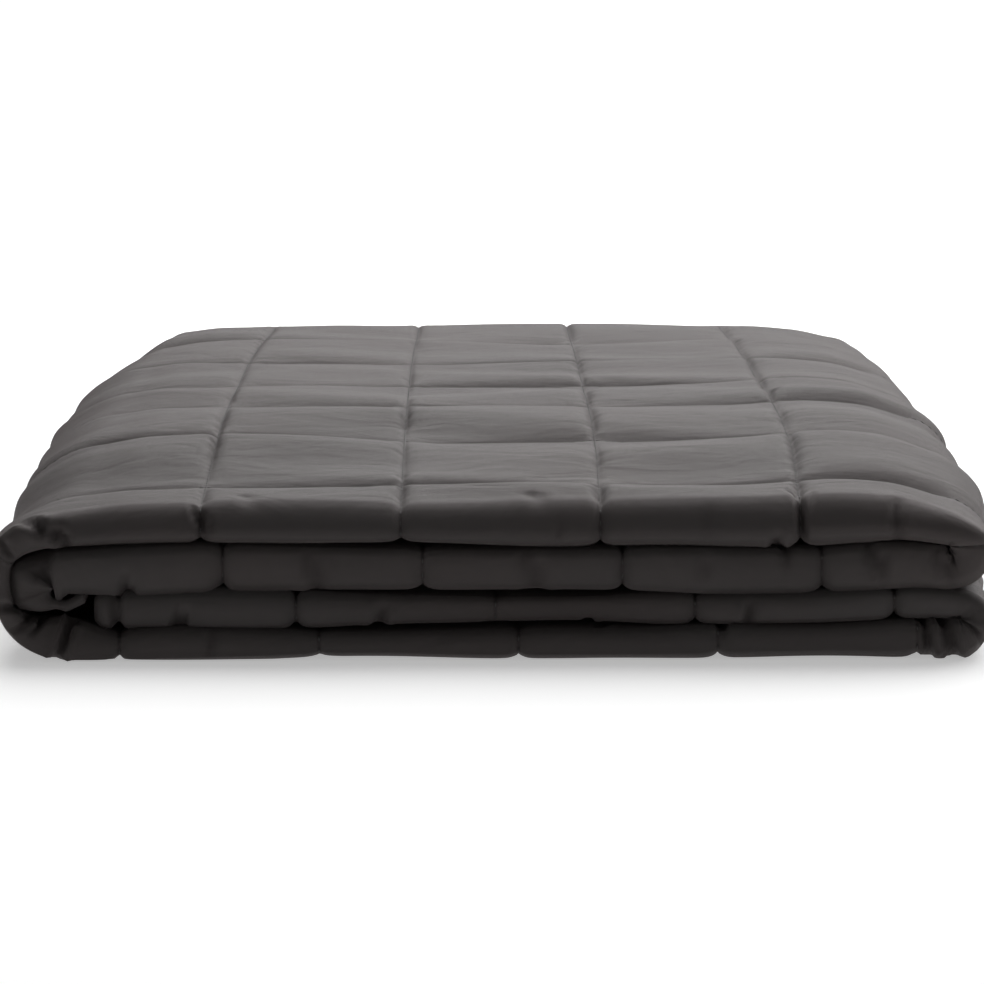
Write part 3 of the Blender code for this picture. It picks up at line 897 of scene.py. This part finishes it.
def addNode(tree, kind, inputs, **settings):  # each input is a value or another node's output
    node = tree.nodes.new("ShaderNode" + kind)
    for name, value in settings.items():
        setattr(node, name, value)
    for name, value in inputs.items():
        if isinstance(value, bpy.types.NodeSocket):
            tree.links.new(value, node.inputs[name])
        else:
            node.inputs[name].default_value = value
    return node


def calculated(tree, operation, *values):
    return addNode(tree, "Math", dict(enumerate(values)), operation=operation).outputs[0]


def scaled(tree, value, low, high):  # a value from 0 to 1 spread between two others
    return addNode(tree, "MapRange", {"Value": value, "To Min": low, "To Max": high}).outputs["Result"]


def mixedColours(tree, share, first, second, way="MIX"):
    inputs = {"Factor": share, "A": first, "B": second}
    return addNode(tree, "Mix", inputs, data_type="RGBA", blend_type=way).outputs["Result"]


def stretchedNoise(tree, place, stretch, detail, distortion):
    mapping = addNode(tree, "Mapping", {"Vector": place, "Scale": stretch})
    inputs = {"Vector": mapping.outputs["Vector"], "Scale": 1.0, "Detail": detail, "Distortion": distortion}
    return addNode(tree, "TexNoise", inputs).outputs["Fac"]


def addBump(tree, height, shader):
    bump = addNode(tree, "Bump", {"Height": height, "Distance": 1.0})
    tree.links.new(bump.outputs["Normal"], shader.inputs["Normal"])


def makeMaterial(name, values):
    material = bpy.data.materials.new(name)
    material.use_nodes = True
    shader = material.node_tree.nodes["Principled BSDF"]
    for socket, value in values.items():
        shader.inputs[socket].default_value = value
    return material, material.node_tree, shader


def makeGroup(name, inputs, outputs):
    group = bpy.data.node_groups.new(name, "ShaderNodeTree")
    for socket, kind in inputs.items():
        group.interface.new_socket(name=socket, in_out="INPUT", socket_type="NodeSocket" + kind)
    for socket in outputs:
        group.interface.new_socket(name=socket, in_out="OUTPUT", socket_type="NodeSocketFloat")
    return group, group.nodes.new("NodeGroupInput").outputs, group.nodes.new("NodeGroupOutput").inputs


def makeSeamGroup():  # 1 on a seam's line and 0 beside it, from a flat map in metres: the mask of the painted shade in the seams' grooves
    group, given, found = makeGroup("seamLines", {
        "Flat Map": "Vector", "First Seam": "Float", "Block Long": "Float", "Block Wide": "Float",
        "Line Width": "Float"}, ("Along", "Across"))
    flat = addNode(group, "SeparateXYZ", {0: given["Flat Map"]}).outputs
    fromFirst = calculated(group, "SUBTRACT", flat["X"], given["First Seam"])
    for place, block, name in ((fromFirst, "Block Long", "Across"), (flat["Y"], "Block Wide", "Along")):
        fromSeam = calculated(group, "PINGPONG", place, calculated(group, "MULTIPLY", given[block], 0.5))
        inputs = {"Value": fromSeam, "From Max": given["Line Width"], "To Min": 1.0, "To Max": 0.0}
        line = addNode(group, "MapRange", inputs, interpolation_type="SMOOTHSTEP")
        group.links.new(line.outputs["Result"], found[name])
    return group


def makeWeaveGroup():  # plain weave, from a flat map in metres
    group, given, found = makeGroup(
        "plainWeave", {"Flat Map": "Vector", "Threads": "Float", "Depth": "Float"}, ("Height",))
    spread = addNode(group, "VectorMath", {0: given["Flat Map"], "Scale": given["Threads"]}, operation="SCALE")
    axes = addNode(group, "SeparateXYZ", {0: spread.outputs[0]}).outputs
    crossed = calculated(
        group, "MULTIPLY", calculated(group, "SINE", axes["X"]), calculated(group, "SINE", axes["Y"]))
    group.links.new(calculated(group, "MULTIPLY", crossed, given["Depth"]), found["Height"])
    return group


def makeClothMaterial():
    material, tree, shader = makeMaterial("charcoalMicrofibre", {
        "Roughness": cloth["roughness"], "Sheen Weight": cloth["sheen"],
        "Sheen Roughness": cloth["sheenRoughness"], "Sheen Tint": cloth["shineTint"],
        "Specular Tint": cloth["shineTint"]})
    flat = addNode(tree, "UVMap", {}, uv_map="flatQuilt").outputs["UV"]
    swell = addNode(tree, "Attribute", {}, attribute_name="swell").outputs["Fac"]
    folds = addNode(tree, "Attribute", {}, attribute_name="folds").outputs["Fac"]

    # colour: soft patches of tone, with painted shade beside the seams, on their lines and in the folds
    patches = stretchedNoise(tree, flat, (cloth["patches"],) * 3, 2.0, 0.3)
    patches = scaled(tree, patches, cloth["patchFrom"], cloth["patchTo"])
    lines = addNode(tree, "Group", {
        "Flat Map": flat, "First Seam": firstBlockLong, "Block Long": quilt["blockLong"],
        "Block Wide": quilt["blockWide"], "Line Width": cloth["lineWidth"]}, node_tree=makeSeamGroup())
    # painted shade in the seams' valleys, where the swell is low
    shade = addNode(tree, "MapRange", {
        "Value": swell, "From Min": cloth["shadeFrom"], "From Max": cloth["shadeTo"],
        "To Min": cloth["seamShade"]}).outputs["Result"]
    # painted shade on the seams' lines and in the creases
    paintedShades = {"rowShade": lines.outputs["Along"], "columnShade": lines.outputs["Across"], "foldShade": folds}
    for name, here in paintedShades.items():
        shade = calculated(tree, "MULTIPLY", shade, scaled(tree, here, 1.0, cloth[name]))
    colour = mixedColours(
        tree, 1.0, mixedColours(tree, patches, cloth["cool"], cloth["warm"]), shade, "MULTIPLY")
    tree.links.new(colour, shader.inputs["Base Color"])

    # bump: puckers beside the seams, small wrinkles everywhere, and the weave
    puckers = calculated(
        tree, "MULTIPLY", stretchedNoise(tree, flat, cloth["puckers"], 3.0, 0.4),
        scaled(tree, swell, cloth["puckerDepth"], cloth["puckerDepth"] * cloth["puckerRest"]))
    wrinkles = stretchedNoise(tree, flat, cloth["wrinkles"], 4.0, 1.2)
    wrinkles = scaled(tree, wrinkles, 0.0, cloth["wrinkleDepth"])
    weave = addNode(tree, "Group", {
        "Flat Map": flat, "Threads": cloth["threads"] * math.pi, "Depth": cloth["weaveDepth"],
    }, node_tree=makeWeaveGroup())
    height = calculated(tree, "ADD", calculated(tree, "ADD", puckers, wrinkles), weave.outputs["Height"])
    addBump(tree, height, shader)
    return material


def makeThreadMaterial():
    material, tree, shader = makeMaterial("charcoalThread", {"Roughness": stitching["roughness"]})
    place = tree.nodes.new("ShaderNodeTexCoord").outputs["Object"]
    blotches = stretchedNoise(tree, place, (stitching["blotches"],) * 3, 2.0, 0.0)
    # blotches from the cloth's own charcoal to the painted highlight of the thread
    colour = mixedColours(tree, blotches, cloth["cool"], stitching["colour"])
    tree.links.new(colour, shader.inputs["Base Color"])
    twist = stretchedNoise(tree, place, (stitching["twists"],) * 3, 1.0, 0.5)
    addBump(tree, scaled(tree, twist, 0.0, stitching["twistDepth"]), shader)
    return material


seamStitches.data.materials.append(makeThreadMaterial())
quiltedBlanket.data.materials.clear()
quiltedBlanket.data.materials.append(makeClothMaterial())
print("materials:", quiltedBlanket.active_material.name, "and", seamStitches.active_material.name)

studio = {
    "floorSize": (6.0, 6.0),
    "floorCentre": (0, -1.6, -0.0005),
    "floorColour": (0.9, 0.9, 0.9, 1),
    "floorGlow": 0.44,
    "roomSeen": 1.05,  # the room is white to look at, but a dim light
    "roomLight": 0.13,
    "softboxes": {
        "topSoftbox": {"place": (0.2, 0.85, 2.0), "aim": (0, 0.05, 0), "size": (2.6, 1.7), "power": 40},
        "backSoftbox": {"place": (0.5, 2.2, 1.25), "aim": (0, 0, 0.05), "size": (2.6, 1.4), "power": 38},
        "sideSoftbox": {"place": (1.9, 0.9, 0.95), "aim": (0, 0, 0.05), "size": (1.2, 1.0), "power": 10},
    },
    "cameraPlace": (-0.01567, -2.14321, 0.41070),
    "cameraPitch": 10.267,
    "cameraYaw": -0.459,
    "lens": 150.1,
}


def makeFloor():
    tidySelection()
    bpy.ops.mesh.primitive_plane_add(size=1, location=(0, 0, 0))
    floor = bpy.context.object
    floor.name = "studioFloor"
    floor.scale = (*studio["floorSize"], 1)
    floor.location = studio["floorCentre"]
    bpy.ops.object.transform_apply(location=True, rotation=True, scale=True)
    floor.data.materials.append(makeMaterial("paleFloor", {
        "Base Color": studio["floorColour"], "Emission Color": studio["floorColour"],
        "Emission Strength": studio["floorGlow"], "Roughness": 0.9})[0])


def makeSoftbox(name, place, aim, size, power):
    bpy.ops.object.light_add(type="AREA", location=place)
    lamp = bpy.context.object
    lamp.name = name
    lamp.data.shape = "RECTANGLE"
    lamp.data.size, lamp.data.size_y = size
    lamp.data.energy = power
    away = [place[axis] - aim[axis] for axis in range(3)]
    flat = math.hypot(away[0], away[1])
    lamp.rotation_euler = (math.atan2(flat, away[2]), 0, math.atan2(away[0], -away[1]))


def makeCamera():
    bpy.ops.object.camera_add(
        location=studio["cameraPlace"],
        rotation=(math.radians(90 - studio["cameraPitch"]), 0, math.radians(studio["cameraYaw"])))
    camera = bpy.context.object
    camera.name = "studioCamera"
    camera.data.lens = studio["lens"]
    camera.data.sensor_width = 36
    camera.data.clip_start = 0.05
    bpy.context.scene.camera = camera


def makeRoom():
    room = bpy.data.worlds.new("paleRoom")
    room.use_nodes = True
    nodes, links = room.node_tree.nodes, room.node_tree.links
    seen, light = nodes["Background"], nodes.new("ShaderNodeBackground")
    for background, strength in ((seen, studio["roomSeen"]), (light, studio["roomLight"])):
        background.inputs["Color"].default_value = (1, 1, 1, 1)
        background.inputs["Strength"].default_value = strength
    rays, mix = nodes.new("ShaderNodeLightPath"), nodes.new("ShaderNodeMixShader")
    links.new(rays.outputs["Is Camera Ray"], mix.inputs["Fac"])
    links.new(light.outputs["Background"], mix.inputs[1])
    links.new(seen.outputs["Background"], mix.inputs[2])
    links.new(mix.outputs["Shader"], nodes["World Output"].inputs["Surface"])
    bpy.context.scene.world = room


makeFloor()
for name, box in studio["softboxes"].items():
    makeSoftbox(name, **box)
makeCamera()
makeRoom()
bpy.context.scene.view_settings.view_transform = "Standard"
print("studio: floor,", len(studio["softboxes"]), "softboxes, camera and room")

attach(quiltedBlanket, "root")
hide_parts("blanket")
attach(seamStitches, "root")
